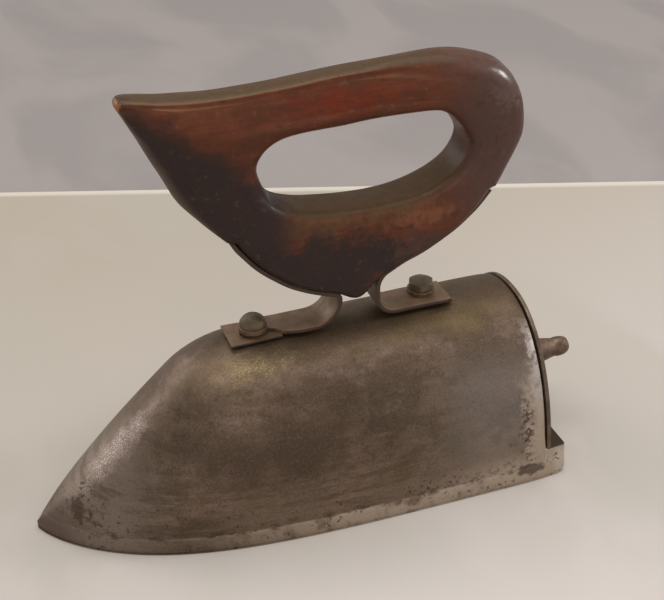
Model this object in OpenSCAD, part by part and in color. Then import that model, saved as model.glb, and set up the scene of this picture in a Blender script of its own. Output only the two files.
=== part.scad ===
// Gas-heated clothes iron: hollow hood over a thick sole, a burner unit that slides out of the
// heel on its rear plate, and a closed wooden handle on two bent steel straps.
// Frame: origin in the ironing face, 120.4 mm behind the nose; nose towards -X, up is +Z.

/* [Sole] */
// Length of the sole from nose to heel
sole_len = 241; // [225:1:255]
// Half width of the sole at its widest
sole_half = 51.8; // [46:0.1:56]
// Height of the sole's side, up to the hood's lower edge
sole_side = 8; // [6:0.5:10]
// Height of the heel's ledge above the ironing face
ledge_z = 15; // [12:0.5:18]
// How far the side leans in from the ironing face to the hood
side_lean = 1.4; // [0:0.1:2.5]

/* [Hood] */
// Height of the hood's ridge
ridge_z = 78.1; // [70:0.1:86]
// Wall of the hood
hood_wall = 2.4; // [1.6:0.1:3]
// Slope of the nose, rise over run
nose_slope = 0.9; // [0.8:0.01:1]
// Radius that blends the nose into the ridge
nose_blend = 46.6; // [30:0.1:60]
// Roundness of the hood's section, 2 is an ellipse
section_power = 2.2; // [2:0.1:3]

/* [Rear plate] */
// Gap between the hood's rear edge and the plate, which lets the burnt gas out
plate_gap = 1; // [0.6:0.1:2]
// Thickness of the rear plate
plate_t = 2; // [1.5:0.1:3]

/* [Gas way] */
// Height of the nozzle's axis
gas_z = 35.3; // [33:0.1:38]
// Radius of the nozzle where the hose grips it
hose_r = 4.8; // [4.6:0.1:5.4]
// Distance of each burner tube from the middle
prong_y = 17; // [15:0.5:19]
// Radius of a burner tube
prong_r = 6; // [5:0.5:6.5]

/* [Handle] */
// Thickness of the wood
wood_t = 25; // [22:0.5:28]
// Radius of the wood's long edges
wood_edge = 5.5; // [2:0.5:6]
// Width of the steel straps
strap_w = 17; // [15:0.5:18]
// Thickness of the steel straps
strap_t = 2.1; // [1.6:0.1:2.2]
// Thickness of the pad plates between strap and hood
pad_t = 1.9; // [1.2:0.1:2.5]

/* [Handle bolts] */
// Place of the front bolt along the iron
front_bolt_x = -14.7; // [-20:0.1:-12]
// Place of the rear bolt along the iron
rear_bolt_x = 67; // [62:0.5:70]
// How far the rear bolt stands off the middle line
rear_bolt_y = 2.5; // [0:0.1:3]
// Width of the rear bolt's head across its worn flats
head_af = 10.8; // [10:0.1:12]
// Radius of the front bolt's head, which is worn round
head_r = 6.3; // [5:0.1:7]

/* [Hidden] */

iron = "dimgray";
steel = "gray";
brass = "darkgoldenrod";
eps = 0.01;

// Along the iron
nose_x = -120.4;
heel_x = nose_x + sole_len;
hood_end = heel_x - 11.1;
plate_x = hood_end + plate_gap;
plate_end = plate_x + plate_t;
nose_foot = 4.2;
blend_u = (ridge_z - nose_foot) / nose_slope + nose_blend * tan(atan(nose_slope) / 2);
heel_corner = 2;
platform_z = 13;

// Up the handle's fixing
pad_top = ridge_z + pad_t;
foot_mid = pad_top + strap_t / 2;
foot_top = pad_top + strap_t;
washer_t = 2.2;
washer_r = 6.45;
bolt_r = 3.175;
fit_r = 0.05;
clear_r = 3.5;
bolt_len = 24;
baffle_top = ridge_z - hood_wall - 1.8;
baffle_t = 0.8;
pillar_top = baffle_top - baffle_t;

// ---- curves -------------------------------------------------------------------------------

// Half width of the ironing face, u mm behind the nose
function face_half(u) =
    let (taper = max(0, u + nose_x - 94), left = heel_x - nose_x - u)
    sole_half * pow(1 - pow(1 - u / 269, 5.84), 0.79) - 0.004 * taper * taper
    - (left < heel_corner
        ? heel_corner - sqrt(max(0, heel_corner * heel_corner - pow(heel_corner - left, 2)))
        : 0);

// Height of the ridge line, u mm behind the nose, for a surface set in by t
function ridge(u, t = 0) =
    let (back = blend_u - u, r = nose_blend - t)
    back <= 0 ? ridge_z - t
    : back < r * sin(atan(nose_slope)) ? ridge_z - nose_blend + sqrt(r * r - back * back)
    : nose_foot + nose_slope * u - t / cos(atan(nose_slope));

// Half width at height z, for a surface set in by t
function side_half(u, z, t = 0) =
    let (h = ridge(u, t), grow = (face_half(u + 0.5) - face_half(u)) / 0.5,
        w = face_half(u) - side_lean * min(1, z / sole_side) - t * sqrt(1 + grow * grow))
    h <= z || w <= 0 ? 0 : w * pow(1 - pow(z / h, section_power), 1 / section_power);

// Outline of the side at height z, for a surface set in by t
function side_ring(z, t = 0, u_end = sole_len) =
    let (first = max(0, (z - nose_foot) / nose_slope) + t * 1.5, last = u_end - heel_corner,
        us = concat([for (k = [0 : 40]) first + (last - first) * pow(k / 40, 1.7)],
            [for (a = [15 : 15 : 90]) last + heel_corner * sin(a)]),
        side = [for (u = us) [nose_x + u, side_half(u, z, t)]])
    concat([for (p = side) [p[0], max(p[1], p == side[0] ? 0 : 0.05)]],
        [for (k = [len(side) - 1 : -1 : 1]) [side[k][0], -max(side[k][1], 0.05)]]);

// Section of the hood u mm behind the nose, set in by t, down to the ironing face
function hood_section(u, t = 0, n = 36) =
    let (grow = (face_half(u + 0.5) - face_half(u)) / 0.5, h = ridge(u, t),
        w = max(0.3, face_half(u) - side_lean - t * sqrt(1 + grow * grow)), e = 2 / section_power)
    [for (k = [0 : n]) let (a = 180 * k / n)
        [-sign(cos(a)) * w * pow(abs(cos(a)), e), h * pow(sin(a), e)]];

// Catmull-Rom curve through points, n steps to a span
function bend(a, b, c, d, f) =
    0.5 * (2 * b + (c - a) * f + (2 * a - 5 * b + 4 * c - d) * f * f
        + (3 * b - a - 3 * c + d) * f * f * f);
function curve(p, n = 6) =
    let (m = len(p) - 1)
    concat([for (i = [0 : m - 1]) for (k = [0 : n - 1])
        bend(p[max(i - 1, 0)], p[i], p[i + 1], p[min(i + 2, m)], k / n)], [p[m]]);
function loop(p, n = 6) =
    let (m = len(p))
    [for (i = [0 : m - 1]) for (k = [0 : n - 1])
        bend(p[(i + m - 1) % m], p[i], p[(i + 1) % m], p[(i + 2) % m], k / n)];

function arc(centre, r, from, to, n = 8) =
    [for (k = [0 : n]) let (a = from + (to - from) * k / n) centre + r * [cos(a), sin(a)]];
function unit(v) = v / norm(v);
function side_of(v) = [-v[1], v[0]];
function beside(p, d) =
    let (m = len(p) - 1)
    [for (i = [0 : m]) p[i] + d * side_of(unit(p[min(i + 1, m)] - p[max(i - 1, 0)]))];
function backwards(p) = [for (i = [len(p) - 1 : -1 : 0]) p[i]];

// ---- solids from curves -------------------------------------------------------------------

// Skin over rings of equal length: the last meets the first, or each end is closed by a face
module skin(rings, closed = false) {
    m = len(rings[0]);
    n = len(rings);
    ends = closed ? [] : [[for (i = [m - 1 : -1 : 0]) i], [for (i = [0 : m - 1]) (n - 1) * m + i]];
    polyhedron(
        points = [for (r = rings) for (p = r) p],
        faces = concat(ends,
            [for (j = [0 : n - (closed ? 1 : 2)]) for (i = [0 : m - 1]) for (half = [0, 1])
                let (k = (i + 1) % m, a = j * m + i, b = j * m + k,
                    c = (j + 1) % n * m + k, d = (j + 1) % n * m + i)
                half == 0 ? [a, b, c] : [a, c, d]]));
}

// The hood's outer form, set in by t, from nose to just past its rear edge
module hood_form(t, past) {
    first = t == 0 ? 0.4 : 2.2 * t;
    last = hood_end - nose_x + past;
    skin([for (k = [0 : 30]) let (u = first + (last - first) * pow(k / 30, 1.4))
        [for (p = hood_section(u, t)) [nose_x + u, p[0], p[1]]]]);
}

module upright(points, width) {
    rotate([90, 0, 0]) linear_extrude(width, center = true) polygon(points);
}

module along_x(x, y = 0, z = gas_z) {
    translate([x, y, z]) rotate([0, 90, 0]) children();
}

module at_bolts() {
    translate([front_bolt_x, 0, 0]) children();
    translate([rear_bolt_x, rear_bolt_y, 0]) children();
}

// ---- handle -------------------------------------------------------------------------------

// Middle lines of the straps, from the foot's free end to the arm's top end
front_foot_end = front_bolt_x - strap_w / 2;
rear_foot_end = 77.5;
front_arm = curve([[22, 95.8], [8, 101], [-4, 108.5], [-14, 117.5], [-20.5, 125.5], [-23.5, 130.3]]);
rear_arm = curve([[46.4, 102.5], [54.4, 106.5], [65.4, 111], [77.8, 118.1], [84.5, 123.2],
    [90, 128.4], [94.8, 134]]);
front_bend_r = 12.2;
rear_bend_r = 9;
front_line = concat([[front_foot_end, foot_mid]],
    arc([11.5, foot_mid + front_bend_r], front_bend_r, -90, 0, 12),
    arc([21.1, foot_mid + front_bend_r], 2.6, 12, 62, 4), front_arm);
rear_line = concat([[rear_foot_end, foot_mid]],
    arc([50.6, foot_mid + rear_bend_r], rear_bend_r, 270, 180, 12),
    arc([50.6, 94.6], rear_bend_r, 180, 125, 6), rear_arm);

// The wood's outline: over the top from the beak to the heel, then back along the straps
strap_seat = strap_t / 2 + 0.3;
wood_top = curve([[-64.6, 194.2], [-65.4, 197], [-63, 199.2], [-56, 198.5], [-42, 196.4],
    [-20, 195.4], [5, 196.3], [30, 197.9], [59, 199.2], [76, 198.7], [90, 195.4], [99, 191],
    [105.5, 183], [109.6, 172], [110.2, 160], [106.6, 150.5], [101, 141.3], [96.9, 135.6]], 4);
wood_foot = curve([[25, 95.6], [28.6, 93.8], [32.4, 93.9], [36, 96.4], [39.6, 100.2]], 3);
wood_front = curve([[-26, 131.3], [-36.5, 141.8], [-44, 151], [-51, 166], [-58.5, 182],
    [-64, 193.2]], 4);
wood_outline = concat(wood_top, backwards(beside(rear_arm, strap_seat)),
    backwards(wood_foot), beside(front_arm, -strap_seat), wood_front);
finger_hole = loop([[-10.7, 160], [-9, 167.8], [-1.5, 173.2], [12, 175.1], [40, 176.3],
    [64, 176], [73.5, 173], [80.5, 165], [83.2, 157.5], [79, 149], [68.5, 142.2], [55, 138.6],
    [38, 137.5], [20, 138.6], [6, 141.2], [-4.5, 147]]);

// How much of the full thickness the wood has at p: it thins towards the beak, and its top is
// narrow as far as the shoulder, so that the sides slope outward on their way down
beak_x = -65.4;
crest = 0.5;
shoulder_from = 44;
shoulder_len = 48;
function thin(p) =
    let (f = max(0, min(1, (p[0] - shoulder_from) / shoulder_len)))
    min(1, 0.34 + 0.66 * pow(max(0, p[0] - beak_x) / 58, 0.8),
        p[1] < 186 ? 1 : crest + (1 - crest) * f * f * (3 - 2 * f));

// Clockwise outline drawn in by d, less where the wood is thin
function drawn_in(p, d) =
    let (m = len(p))
    [for (i = [0 : m - 1])
        let (n = side_of(unit(p[(i + 1) % m] - p[(i + m - 1) % m])), f = thin(p[i]))
        p[i] - d * f * f * n];

// Where the ray from the hole's middle towards p crosses the hole's edge
hole_middle = [36, 156];
function cross2(a, b) = a[0] * b[1] - a[1] * b[0];
function on_hole_edge(p) =
    let (d = p - hole_middle, m = len(finger_hole),
        hits = [for (i = [0 : m - 1])
            let (a = finger_hole[i] - hole_middle, s = finger_hole[(i + 1) % m] - finger_hole[i],
                c = cross2(d, s), f = cross2(a, s) / c, g = cross2(a, d) / c)
            if (f > 0 && g >= 0 && g <= 1) f])
    hole_middle + max(hits) * d;

// The wood is a ring round the finger hole: its outer side, then the hole's side, each rounded
module handle() {
    h = wood_t / 2;
    hole_edge = [for (p = wood_outline) on_hole_edge(p)];
    round = [for (a = [90 : -30 : 0]) [h - wood_edge + wood_edge * sin(a), wood_edge * (1 - cos(a))]];
    across = concat(round, [for (s = backwards(round)) [-s[0], s[1]]]);
    color("saddlebrown") difference() {
        skin(concat(
            [for (s = across) [for (p = drawn_in(wood_outline, s[1])) [p[0], s[0] * thin(p), p[1]]]],
            [for (s = across) [for (p = drawn_in(hole_edge, -s[1])) [p[0], -s[0], p[1]]]]),
            closed = true);
        strap_screw_places() cylinder(r = wood_screw_r + fit_r, h = wood_screw_len + 1, $fn = 24);
    }
}

wood_screw_r = 1.6;
wood_screw_len = 13;
wood_screw_head = 3.4;

// Puts the origin on each arm's outer face, with +Z into the wood
module strap_screw_places() {
    for (s = [[front_arm, 14, -1], [front_arm, 24, -1], [rear_arm, 12, 1], [rear_arm, 30, 1]])
        let (p = s[0][s[1]], n = s[2] * side_of(unit(s[0][s[1] + 1] - s[0][s[1] - 1])),
            q = p - n * strap_t / 2)
            translate([q[0], 0, q[1]]) rotate([0, atan2(n[0], n[1]), 0]) children();
}

module strap_screws() {
    color(steel) strap_screw_places() {
        translate([0, 0, 0.1])
            cylinder(r1 = wood_screw_head - 0.25, r2 = wood_screw_r, h = 1.7, $fn = 32);
        translate([0, 0, 1]) cylinder(r = wood_screw_r, h = wood_screw_len - 3, $fn = 24);
        translate([0, 0, wood_screw_len - 2 - eps])
            cylinder(r1 = wood_screw_r, r2 = 0.3, h = 2, $fn = 24);
    }
}

module strap_body(line) {
    difference() {
        upright(concat(beside(line, strap_t / 2), backwards(beside(line, -strap_t / 2))), strap_w);
        at_bolts() cylinder(r = clear_r, h = 95, $fn = 40);
        strap_screw_places() {
            translate([0, 0, -1]) cylinder(r = wood_screw_r + 0.2, h = 6, $fn = 24);
            translate([0, 0, -0.02])
                cylinder(r1 = wood_screw_head, r2 = wood_screw_r, h = 1.9, $fn = 32);
        }
    }
}

// The front foot hooks round its bolt: the corner beside the bolt is gone
module front_strap() {
    half = strap_w / 2;
    hook_r = 6.2;
    color(steel) intersection() {
        strap_body(front_line);
        union() {
            linear_extrude(90) polygon(concat(
                [[60, half], [front_bolt_x + 3, half]], arc([front_bolt_x, 0], hook_r, 90, 170, 12),
                [[front_bolt_x - 4, -1], [front_bolt_x + 1, -2.2], [-8.1, -1.2], [-4.7, -3.6],
                    [-1.9, -6.75], [5, -half], [60, -half]]));
            translate([-60, -half, 90 - eps]) cube([120, strap_w, 60]);
        }
    }
}

module rear_strap() {
    color(steel) strap_body(rear_line);
}

// Plate under a strap's foot, with a thin rim and a middle shaped to the crown below
module pad(outline) {
    rim_t = 1.2;
    rim_w = 2;
    color(steel) difference() {
        union() {
            translate([0, 0, pad_top - rim_t]) linear_extrude(rim_t) polygon(outline);
            translate([0, 0, ridge_z - 2]) linear_extrude(pad_t + 2 - eps)
                offset(delta = -rim_w) polygon(outline);
        }
        hood_form(0, 0);
        at_bolts() cylinder(r = clear_r, h = 95, $fn = 40);
    }
}

module front_pad() {
    pad([[-26.8, -7.6], [-3, -6.8], [-3, 8.3], [-20, 10.8], [-26.8, 10.8]]);
}

module rear_pad() {
    pad([[53, -7], [79, -7], [79, 5.6], [77.4, 7], [53, 7]]);
}

module handle_washers() {
    color(steel) at_bolts() translate([0, 0, foot_top]) difference() {
        cylinder(r = washer_r, h = washer_t, $fn = 64);
        translate([0, 0, -1]) cylinder(r = bolt_r + 0.3, h = washer_t + 2, $fn = 40);
    }
}

// Cap of a sphere over a head of radius r
module dome(r, h) {
    big = (r * r + h * h) / (2 * h);
    rotate_extrude($fn = 64) intersection() {
        translate([0, h - big]) circle(r = big, $fn = 180);
        square([r, h]);
    }
}

module handle_bolts() {
    head_side = 2.3;
    corner_r = head_af / cos(30) / 2;
    color(steel) {
        translate([front_bolt_x, 0, foot_top + washer_t]) {
            cylinder(r = head_r, h = head_side, $fn = 64);
            translate([0, 0, head_side - eps]) dome(head_r, 3.2);
        }
        translate([rear_bolt_x, rear_bolt_y, foot_top + washer_t]) intersection() {
            rotate([0, 0, 7]) cylinder(r = corner_r, h = 6, $fn = 6);
            union() {
                cylinder(r = corner_r + 1, h = 2.6);
                translate([0, 0, 2.6 - eps]) dome(corner_r + 0.4, 2);
            }
        }
        at_bolts() translate([0, 0, foot_top + washer_t - bolt_len])
            cylinder(r = bolt_r, h = bolt_len + 1, $fn = 40);
    }
}

// ---- body ---------------------------------------------------------------------------------

module sole_plate() {
    edge = 0.7;
    heights = [0, edge, sole_side / 2, sole_side];
    color(iron) difference() {
        union() {
            skin([for (z = heights) [for (p = side_ring(z, z == 0 ? edge : 0)) [p[0], p[1], z]]]);
            translate([0, 0, sole_side - eps]) linear_extrude(platform_z - sole_side + eps)
                polygon(side_ring(platform_z, hood_wall + 0.6, hood_end - nose_x + 1));
            translate([0, 0, sole_side - eps]) linear_extrude(ledge_z - sole_side + eps)
                intersection() {
                    polygon(side_ring(sole_side));
                    translate([hood_end + 0.1, -60]) square([30, 120]);
                }
        }
        at_bolts() translate([0, 0, 5]) cylinder(r = 4 + fit_r, h = 20, $fn = 40);
        saddle_screw_places() cylinder(r = 1.6 + fit_r, h = 20, center = true, $fn = 24);
    }
}

module hood() {
    color("dimgray") difference() {
        hood_form(0, 0);
        hood_form(hood_wall, 1);
        translate([-150, -80, -10]) cube([300, 160, 10 + sole_side]);
        at_bolts() cylinder(r = clear_r, h = 95, $fn = 40);
    }
}

module pillar(x, y) {
    color(iron) translate([x, y, 0]) difference() {
        union() {
            translate([0, 0, platform_z]) cylinder(r = 6, h = pillar_top - platform_z, $fn = 48);
            translate([0, 0, 6]) cylinder(r = 4, h = platform_z - 6 + 1, $fn = 40);
        }
        translate([0, 0, foot_top + washer_t - bolt_len - 3])
            cylinder(r = bolt_r + fit_r, h = 40, $fn = 40);
    }
}

module front_pillar() {
    pillar(front_bolt_x, 0);
}

module rear_pillar() {
    pillar(rear_bolt_x, rear_bolt_y);
}

// Heat shield under the crown, clamped on the pillars
module baffle() {
    flat = 10;
    drop = 9;
    out = 23;
    line = [[-out, baffle_top - drop], [-flat, baffle_top], [flat, baffle_top],
        [out, baffle_top - drop]];
    under = [for (p = line) p - [0, baffle_t]];
    color(steel) difference() {
        translate([-24, 0, 0]) rotate([90, 0, 90]) linear_extrude(108)
            polygon(concat(line, backwards(under)));
        at_bolts() cylinder(r = clear_r, h = 95, $fn = 40);
    }
}

saddle_x = -42;
saddle_t = 1.6;

module saddle_screw_places() {
    for (y = [-1, 1]) translate([saddle_x + 6, y * 8, platform_z]) children();
}

// Bracket whose two cradles carry the burner tubes' front ends
module burner_saddle() {
    color(steel) difference() {
        union() {
            translate([saddle_x, -26, platform_z]) cube([saddle_t, 52, gas_z - platform_z]);
            translate([saddle_x, -14, platform_z]) cube([12, 28, saddle_t]);
        }
        for (y = [-prong_y, prong_y]) along_x(saddle_x - 5, y)
            cylinder(r = prong_r + 0.4, h = 20, $fn = 48);
        saddle_screw_places() cylinder(r = 1.9, h = 10, center = true, $fn = 24);
    }
}

module saddle_screws() {
    color(steel) saddle_screw_places() {
        translate([0, 0, -6]) cylinder(r = 1.6, h = 6 + saddle_t + 0.5, $fn = 24);
        translate([0, 0, saddle_t]) difference() {
            cylinder(r = 3, h = 2, $fn = 32);
            translate([-4, -0.4, 1.2]) cube([8, 0.8, 2]);
        }
    }
}

// ---- burner unit ----------------------------------------------------------------------------

module rear_plate() {
    section = hood_section(hood_end - nose_x, 0, 60);
    color(iron) difference() {
        translate([plate_x, 0, 0]) rotate([90, 0, 90]) linear_extrude(plate_t)
            intersection() {
                polygon(section);
                translate([-60, ledge_z + 0.2]) square([120, 80]);
            }
        along_x(plate_x - 5) cylinder(r = 5.1, h = 20, $fn = 48);
        for (y = [-24, 24]) along_x(plate_x - 5, y, 27) cylinder(r = 4.5, h = 20, $fn = 48);
        rivet_places() cylinder(r = 1.3, h = 20, center = true, $fn = 24);
    }
}

module rivet_places() {
    for (y = [-37, 37]) along_x(plate_x, y, 29) children();
}

// Springy strips that hold the plate in the hood
module plate_clips() {
    color(steel) for (side = [-1, 1]) difference() {
        union() {
            translate([plate_x - 1, side > 0 ? 33 : -42, 25]) cube([1, 9, 8]);
            translate([plate_x - 15, side > 0 ? 41 : -42, 25]) cube([15, 1, 8]);
        }
        rivet_places() cylinder(r = 1.3, h = 20, center = true, $fn = 24);
    }
}

module clip_rivets() {
    color(steel) rivet_places() {
        translate([0, 0, -1.9]) cylinder(r1 = 1.8, r2 = 2.4, h = 0.9, $fn = 32);
        translate([0, 0, -1.2]) cylinder(r = 1.25, h = plate_t + 1.4, $fn = 24);
        translate([0, 0, plate_t]) cylinder(r1 = 2.4, r2 = 1.6, h = 0.9, $fn = 32);
    }
}

nozzle_end = 145.2;
shank_r = 4.9;
grip_from = nozzle_end - 6.9;

module nozzle() {
    color(brass) difference() {
        union() {
            along_x(plate_end) cylinder(d = 17 / cos(30), h = 4, $fn = 6);
            along_x(0) rotate_extrude($fn = 64) polygon([[0, plate_x - 11.5],
                [shank_r, plate_x - 11.5], [shank_r, plate_end], [7.2, plate_end],
                [7.2, plate_end + 6], [6.4, plate_end + 8], [5.8, grip_from - 6.6],
                [hose_r - 0.2, grip_from - 1], [hose_r, grip_from], [hose_r, grip_from + 4.8],
                [hose_r - 0.6, nozzle_end - 1], [3.4, nozzle_end], [0, nozzle_end]]);
        }
        along_x(plate_x - 1.5) cylinder(r = 2.5, h = 60, $fn = 40);
        along_x(plate_x - 20) cylinder(r = 3 + fit_r, h = 20, $fn = 40);
    }
}

module nozzle_locknut() {
    color(brass) along_x(plate_x - 3.4) difference() {
        cylinder(d = 15 / cos(30), h = 3.4, $fn = 6);
        translate([0, 0, -1]) cylinder(r = shank_r + fit_r, h = 6, $fn = 48);
    }
}

module gas_jet() {
    color(brass) along_x(plate_x - 15) difference() {
        union() {
            cylinder(r1 = 1.6, r2 = 3, h = 3.5, $fn = 40);
            translate([0, 0, 3.5 - eps]) cylinder(r = 3, h = 6, $fn = 40);
        }
        translate([0, 0, 2]) cylinder(r = 1.8, h = 10, $fn = 32);
        translate([0, 0, -1]) cylinder(r = 0.5, h = 5, $fn = 24);
    }
}

tube_r = 9;
port_x = plate_x - 13;
manifold_x = 84;
boss = 8;

module air_ports(r) {
    for (a = [0, 90, 180, 270]) along_x(port_x) rotate([0, 0, a + 45]) rotate([0, 90, 0])
        cylinder(r = r, h = 14, $fn = 32);
}

// Tube in which the gas draws in its air, screwed on the nozzle's shank
module mixing_tube() {
    shoulder = manifold_x + boss + 0.05;
    color(brass) difference() {
        along_x(0) rotate_extrude($fn = 64) polygon([
            [6, shoulder], [6, manifold_x + 3], [7.4, manifold_x + 3],
            [7.4, shoulder], [tube_r, shoulder], [tube_r, plate_x - 7],
            [8, plate_x - 3.6], [shank_r + fit_r, plate_x - 3.6],
            [shank_r + fit_r, plate_x - 9], [7, plate_x - 9]]);
        air_ports(2.8);
    }
}

// Ring that turns over the ports to set the air
module air_collar() {
    color(brass) difference() {
        union() {
            along_x(port_x - 5) cylinder(r = 10.6, h = 10, $fn = 64);
            along_x(port_x - 5) cylinder(r = 11.6, h = 2.4, $fn = 64);
            translate([port_x - 5, -1.2, gas_z - 15.5]) cube([2.4, 2.4, 6]);
        }
        along_x(port_x - 10) cylinder(r = tube_r + fit_r, h = 20, $fn = 64);
        air_ports(3);
    }
}

module burner_manifold() {
    color(brass) difference() {
        union() {
            translate([manifold_x, -prong_y, gas_z]) rotate([-90, 0, 0])
                cylinder(r = 8, h = 2 * prong_y, $fn = 48);
            for (y = [-prong_y, prong_y]) along_x(manifold_x - 10, y)
                cylinder(r = 8, h = 16, $fn = 48);
            along_x(manifold_x) cylinder(r = 9.5, h = boss, $fn = 48);
        }
        translate([manifold_x, -prong_y, gas_z]) rotate([-90, 0, 0])
            cylinder(r = 5.5, h = 2 * prong_y, $fn = 48);
        for (y = [-prong_y, prong_y]) along_x(manifold_x - 11, y)
            cylinder(r = prong_r + fit_r, h = 8, $fn = 48);
        for (y = [-prong_y, prong_y]) along_x(manifold_x - 4, y) cylinder(r = 4.8, h = 7, $fn = 48);
        along_x(manifold_x + 2.9) cylinder(r = 7.4 + fit_r, h = boss, $fn = 48);
        along_x(manifold_x) cylinder(r = 5.5, h = 10, $fn = 48);
    }
}

prong_front = -60;
prong_back = manifold_x - 3.1;

// Tube with flame slots along its underside
module burner_tube(y) {
    slots = 15;
    color(brass) difference() {
        along_x(prong_front, y) cylinder(r = prong_r, h = prong_back - prong_front, $fn = 48);
        along_x(prong_front - 1, y) cylinder(r = 4.8, h = 200, $fn = 48);
        for (k = [0 : slots - 1])
            translate([prong_front + 9 + 8 * k, y - 3.2, gas_z - prong_r - 1]) cube([1.2, 6.4, 3.5]);
    }
}

module left_burner_tube() {
    burner_tube(-prong_y);
}

module right_burner_tube() {
    burner_tube(prong_y);
}

module burner_end_caps() {
    color(brass) for (y = [-prong_y, prong_y]) {
        along_x(prong_front - 1.5, y) cylinder(r1 = 4.6, r2 = prong_r, h = 1.5, $fn = 48);
        along_x(prong_front - eps, y) cylinder(r = 4.8 - fit_r, h = 4, $fn = 48);
    }
}

sole_plate();
hood();
front_pillar();
rear_pillar();
baffle();
burner_saddle();
saddle_screws();
front_pad();
rear_pad();
front_strap();
rear_strap();
handle_washers();
handle_bolts();
strap_screws();
handle();
rear_plate();
plate_clips();
clip_rivets();
nozzle();
nozzle_locknut();
gas_jet();
mixing_tube();
air_collar();
burner_manifold();
left_burner_tube();
right_burner_tube();
burner_end_caps();
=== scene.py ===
import math

import bmesh
import bpy
import numpy as np
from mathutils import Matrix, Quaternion, Vector, noise


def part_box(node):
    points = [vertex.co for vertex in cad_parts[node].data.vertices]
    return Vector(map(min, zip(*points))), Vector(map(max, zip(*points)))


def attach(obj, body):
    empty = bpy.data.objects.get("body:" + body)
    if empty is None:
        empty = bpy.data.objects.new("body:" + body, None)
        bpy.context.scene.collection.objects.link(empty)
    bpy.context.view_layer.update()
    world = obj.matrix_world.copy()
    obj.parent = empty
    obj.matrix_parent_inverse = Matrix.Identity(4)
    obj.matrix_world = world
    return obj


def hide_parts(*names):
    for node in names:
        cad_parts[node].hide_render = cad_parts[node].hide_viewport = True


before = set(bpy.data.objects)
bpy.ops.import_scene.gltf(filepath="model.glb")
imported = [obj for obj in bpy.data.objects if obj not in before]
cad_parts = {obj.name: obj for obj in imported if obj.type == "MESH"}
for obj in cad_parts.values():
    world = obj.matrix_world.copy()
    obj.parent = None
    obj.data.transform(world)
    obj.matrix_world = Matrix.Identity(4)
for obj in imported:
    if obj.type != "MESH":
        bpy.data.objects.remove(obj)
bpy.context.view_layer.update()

MM = 0.001

# Blender starts this noise from the clock. A fixed seed gives shaken() the same shapes each run.
NOISE_SEED = 1
noise.seed_set(NOISE_SEED)


def low(node):
    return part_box(node)[0] / MM


def high(node):
    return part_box(node)[1] / MM


# ---- sizes, from the frame where the CAD has them ---------------------------------------------

NOSE_X = low("sole_plate").x
HEEL_X = high("sole_plate").x
SOLE_LEN = HEEL_X - NOSE_X
LEDGE_Z = high("sole_plate").z
SOLE_SIDE = low("hood").z
RIDGE_Z = high("hood").z
HOOD_END = high("hood").x
PAD_TOP = high("front_pad").z
FOOT_TOP = low("handle_washers").z
WASHER_TOP = high("handle_washers").z
WASHER_R = -low("handle_washers").y
FRONT_BOLT = low("handle_washers").x + WASHER_R
REAR_BOLT = high("handle_washers").x - WASHER_R
REAR_BOLT_Y = high("handle_washers").y - WASHER_R
STRAP_W = high("rear_strap").y - low("rear_strap").y
STRAP_T = FOOT_TOP - PAD_TOP
WOOD_HALF = high("handle").y
NOZZLE_END = high("nozzle").x
GAS_Z = (high("nozzle").z + low("nozzle").z) / 2
PLATE_END = high("rear_plate").x

# The body's form, as in the CAD
SOLE_HALF = 51.8
TAPER_FROM = 214.4
SIDE_LEAN = 1.4
HOOD_WALL = 2.4
NOSE_FOOT = 4.2
NOSE_SLOPE = 0.9
NOSE_BLEND = 46.6
SECTION_POWER = 2.2
HEEL_CORNER = 2.0
HEEL_WEAR = 3.0
BLEND_U = (RIDGE_Z - NOSE_FOOT) / NOSE_SLOPE + NOSE_BLEND * math.tan(math.atan(NOSE_SLOPE) / 2)


# ---- the body's form --------------------------------------------------------------------------

def face_half(u):
    """Half width of the ironing face, u behind the nose."""
    left = SOLE_LEN - u
    half = SOLE_HALF * (1 - (1 - u / 269) ** 5.84) ** 0.79 - 0.004 * max(0, u - TAPER_FROM) ** 2
    if left < HEEL_CORNER:
        half -= HEEL_CORNER - math.sqrt(max(0, HEEL_CORNER ** 2 - (HEEL_CORNER - left) ** 2))
    return half


def ridge(u, t=0.0):
    """Height of the ridge line, u behind the nose, for a surface set in by t."""
    back, r, slope = BLEND_U - u, NOSE_BLEND - t, math.atan(NOSE_SLOPE)
    if back <= 0:
        return RIDGE_Z - t
    if back < r * math.sin(slope):
        return RIDGE_Z - NOSE_BLEND + math.sqrt(r * r - back * back)
    return NOSE_FOOT + NOSE_SLOPE * u - t / math.cos(slope)


def half_at(u, t=0.0):
    grow = (face_half(u + 0.5) - face_half(u)) / 0.5 if u < SOLE_LEN - 1 else 0
    return max(0.02, face_half(u) - SIDE_LEAN - t * math.sqrt(1 + grow * grow))


def hood_ring(u, t, count):
    """Section of the hood above the sole, from the near lower edge over the ridge to the far one."""
    w, h, e = half_at(u, t), max(ridge(u, t), SOLE_SIDE + 0.01), 2 / SECTION_POWER
    first = math.asin((SOLE_SIDE / h) ** (1 / e))
    ring = []
    for k in range(count + 1):
        a = first + (math.pi - 2 * first) * k / count
        c = math.cos(a)
        ring.append((NOSE_X + u, -math.copysign(w * abs(c) ** e, c), h * math.sin(a) ** e))
    return ring


def section_half(z):
    """The full-height section's half width at height z, as a part of its width at the bottom."""
    return (1 - (z / RIDGE_Z) ** SECTION_POWER) ** (1 / SECTION_POWER)


def crown_z(x, y):
    """Height of the hood's surface at a place on its crown."""
    w, h = half_at(x - NOSE_X), ridge(x - NOSE_X)
    return h * (1 - (abs(y) / w) ** SECTION_POWER) ** (1 / SECTION_POWER)


# ---- curves -----------------------------------------------------------------------------------

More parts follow.
